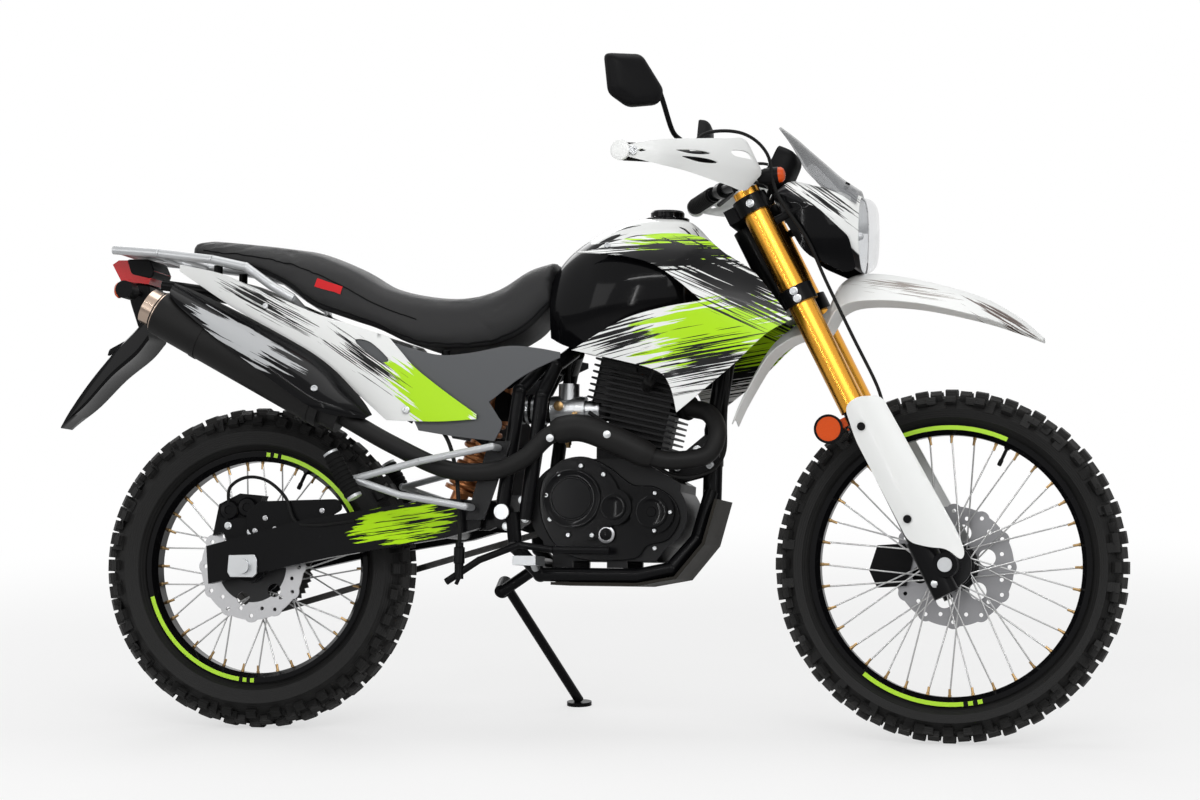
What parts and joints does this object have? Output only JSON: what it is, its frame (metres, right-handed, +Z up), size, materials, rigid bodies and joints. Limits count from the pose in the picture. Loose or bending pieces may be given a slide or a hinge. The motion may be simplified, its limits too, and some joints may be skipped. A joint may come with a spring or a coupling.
{
  "type": "enduro motorcycle",
  "caption": "Enduro motorcycle parked on its side stand, with spoked wheels, upside-down fork, high front fender, long seat, raised muffler and luggage rack.",
  "frame": {"origin": "bottom middle of the parked bike's bounding box, on the floor", "axes": "+X forward, +Y to the rider's left, +Z up"},
  "size_m": [2.1867, 0.8967, 1.353],
  "materials": {
    "frame": "satin black enamel",
    "seat_rails": "satin black enamel",
    "engine_case": "black cast metal",
    "engine_covers": "black satin paint",
    "engine_barrel": "black fins",
    "carburettor": "cast",
    "exhaust_header": "matte heatproof black",
    "heat_shield": "matte black",
    "muffler": "matte black",
    "muffler_shield": "gloss black",
    "skid_plate": "dark",
    "swing_arm": "satin black",
    "rear_axle": "plated",
    "rear_shock": "bronze spring",
    "chain": "blackened",
    "rear_caliper": "black",
    "fuel_tank": "gloss black",
    "tank_shrouds": "white",
    "seat": "black vinyl",
    "side_panels": "dark grey",
    "tail_panels": "white",
    "luggage_rack": "satin",
    "rear_fender": "black",
    "plate_hanger": "black",
    "tail_light": "red lens",
    "rear_indicators": "amber",
    "rider_pegs": "cast",
    "passenger_pegs": "satin",
    "foot_levers": "plated",
    "fork_tubes": "gold anodised",
    "fork_legs": "black",
    "fork_guards": "white",
    "fork_clamps": "black",
    "front_axle": "plated",
    "front_fender": "white",
    "headlight_fairing": "white",
    "headlight_lens": "clear",
    "windscreen": "dark tint",
    "instrument": "black",
    "handlebar": "black",
    "hand_guards": "white",
    "mirrors": "black",
    "front_caliper": "black",
    "fork_reflectors": "amber",
    "front_tyre": "knobbly",
    "front_rim": "black",
    "front_hub": "hub and spokes",
    "front_disc": "grey",
    "rear_tyre": "knobbly",
    "rear_rim": "black",
    "rear_hub": "hub and spokes",
    "rear_disc": "bright",
    "rear_sprocket": "dark",
    "side_stand": "black"
  },
  "bodies": {
    "chassis": {"frame": "frame", "seat_rails": "seat_rails", "engine_case": "engine_case", "engine_covers": "engine_covers", "engine_barrel": "engine_barrel", "carburettor": "carburettor", "exhaust_header": "exhaust_header", "heat_shield": "heat_shield", "muffler": "muffler", "muffler_shield": "muffler_shield", "skid_plate": "skid_plate", "swing_arm": "swing_arm", "rear_axle": "rear_axle", "rear_shock": "rear_shock", "chain": "chain", "rear_caliper": "rear_caliper", "fuel_tank": "fuel_tank", "tank_shrouds": "tank_shrouds", "seat": "seat", "side_panels": "side_panels", "tail_panels": "tail_panels", "luggage_rack": "luggage_rack", "rear_fender": "rear_fender", "plate_hanger": "plate_hanger", "tail_light": "tail_light", "rear_indicators": "rear_indicators", "rider_pegs": "rider_pegs", "passenger_pegs": "passenger_pegs", "foot_levers": "foot_levers"},
    "steering": {"fork_tubes": "fork_tubes", "fork_legs": "fork_legs", "fork_guards": "fork_guards", "fork_clamps": "fork_clamps", "front_axle": "front_axle", "front_fender": "front_fender", "headlight_fairing": "headlight_fairing", "headlight_lens": "headlight_lens", "windscreen": "windscreen", "instrument": "instrument", "handlebar": "handlebar", "hand_guards": "hand_guards", "mirrors": "mirrors", "front_caliper": "front_caliper", "fork_reflectors": "fork_reflectors"},
    "front_wheel": {"front_tyre": "front_tyre", "front_rim": "front_rim", "front_hub": "front_hub", "front_disc": "front_disc"},
    "rear_wheel": {"rear_tyre": "rear_tyre", "rear_rim": "rear_rim", "rear_hub": "rear_hub", "rear_disc": "rear_disc", "rear_sprocket": "rear_sprocket"},
    "stand": {"side_stand": "side_stand"}
  },
  "joints": [
    {"name": "steering_head", "type": "hinge", "parent": "chassis", "child": "steering", "pos_m": [0.37307, -0.05278, 0.93053], "axis": [-0.454, 0.1394, 0.88], "range_deg": [-36, 36]},
    {"name": "front_wheel_spin", "type": "hinge", "parent": "steering", "child": "front_wheel", "pos_m": [0.747, -0.14587, 0.34275], "axis": [0, 0.9877, -0.1564], "continuous": true},
    {"name": "rear_wheel_spin", "type": "hinge", "parent": "chassis", "child": "rear_wheel", "pos_m": [-0.663, -0.149, 0.323], "axis": [0, 0.9877, -0.1564], "continuous": true},
    {"name": "stand_fold", "type": "hinge", "parent": "chassis", "child": "stand", "pos_m": [-0.181, -0.02269, 0.27667], "axis": [0, 0.9373, 0.3484], "range_deg": [0, 105]}
  ]
}
